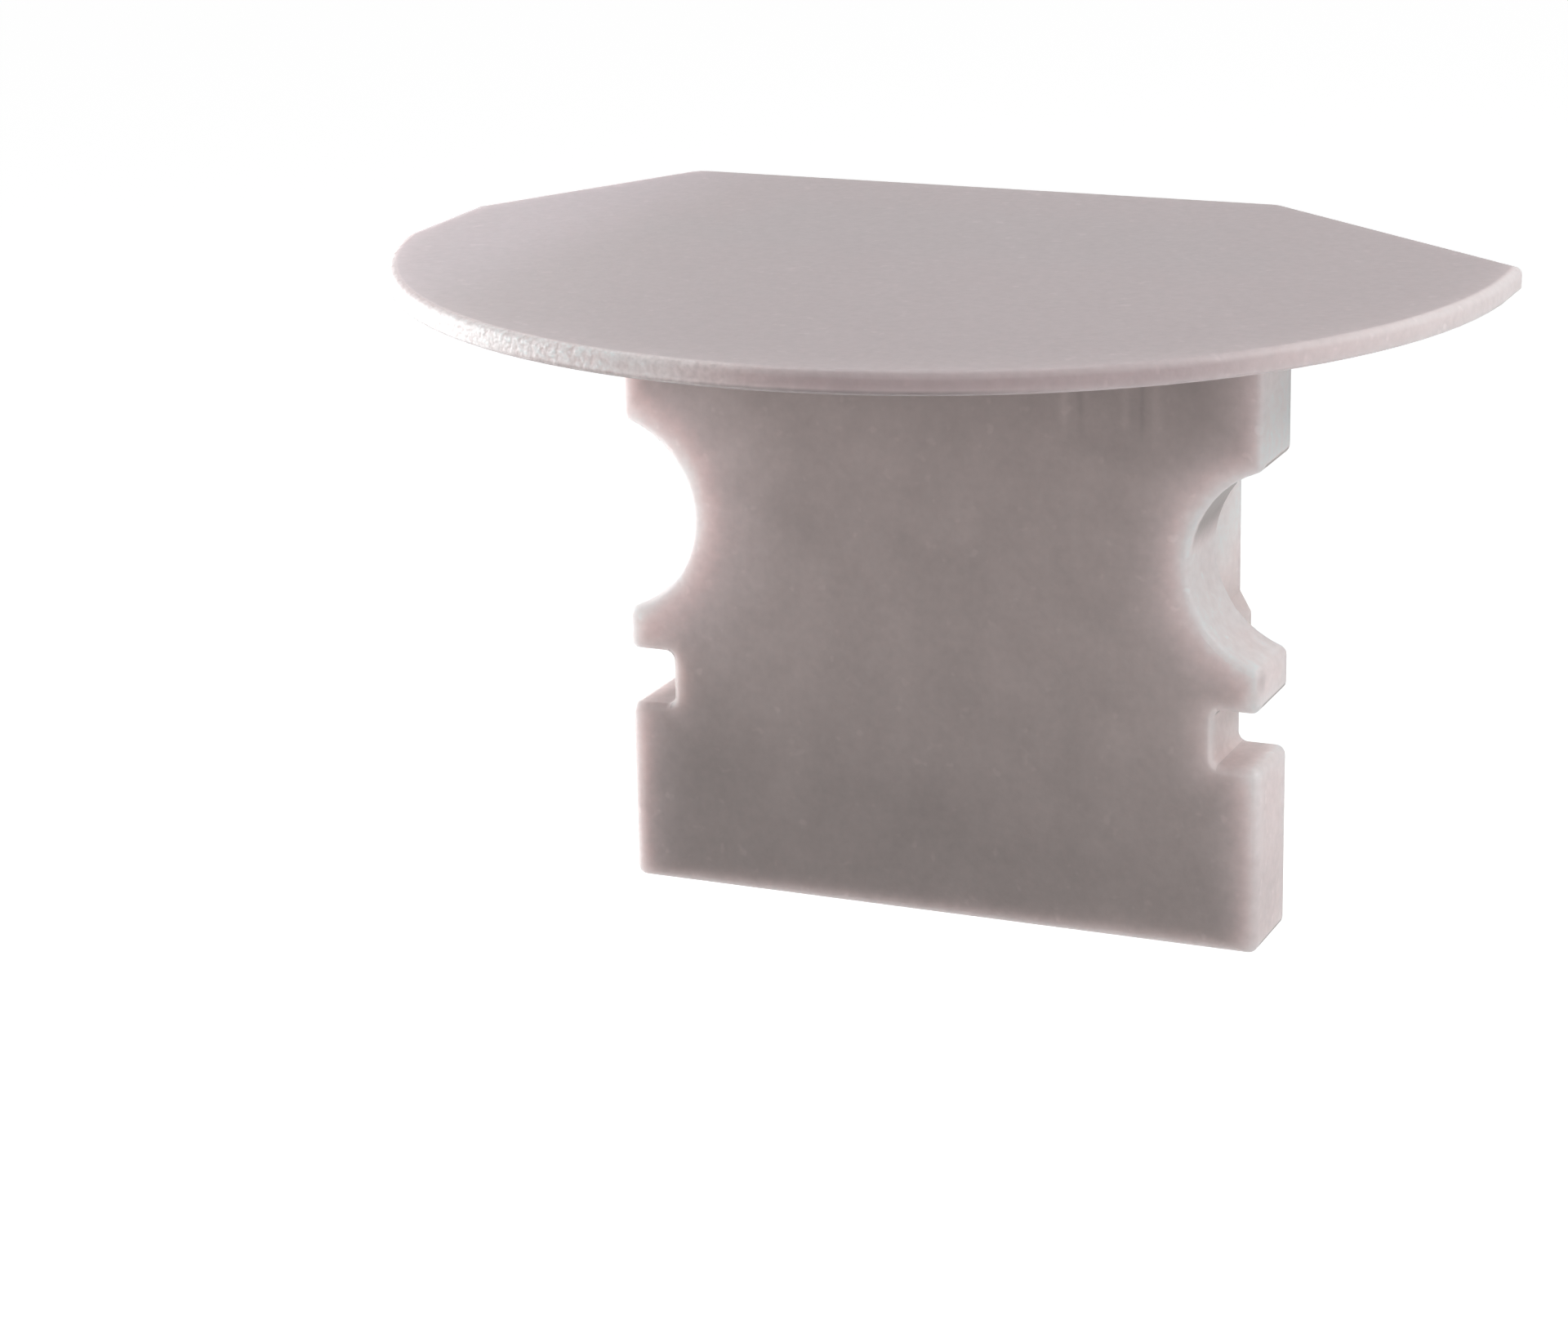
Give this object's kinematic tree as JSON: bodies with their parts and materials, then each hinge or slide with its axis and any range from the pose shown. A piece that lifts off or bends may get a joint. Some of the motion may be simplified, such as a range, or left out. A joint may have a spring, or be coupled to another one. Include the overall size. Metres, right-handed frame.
{
  "type": "profile end cap",
  "caption": "Thin moulded end cap: a plate with a round front and straight back edges, and a flat push-in tongue with notched and slotted edges.",
  "frame": {"origin": "the middle of the tongue, on the plate's underside, which is the face that seats on the profile's cut end", "axes": "+Z along the profile, out of its cut end, so the tongue hangs down; +X across the tongue's width, towards the longer of the two wall edges; +Y towards the plate's straight back edge"},
  "size_m": [0.0227, 0.0172, 0.0141],
  "materials": {
    "grey_plastic": "fine matte texture on the plate, smoother tongue"
  },
  "bodies": {
    "root": {"end_cap": "grey_plastic"}
  },
  "joints": []
}
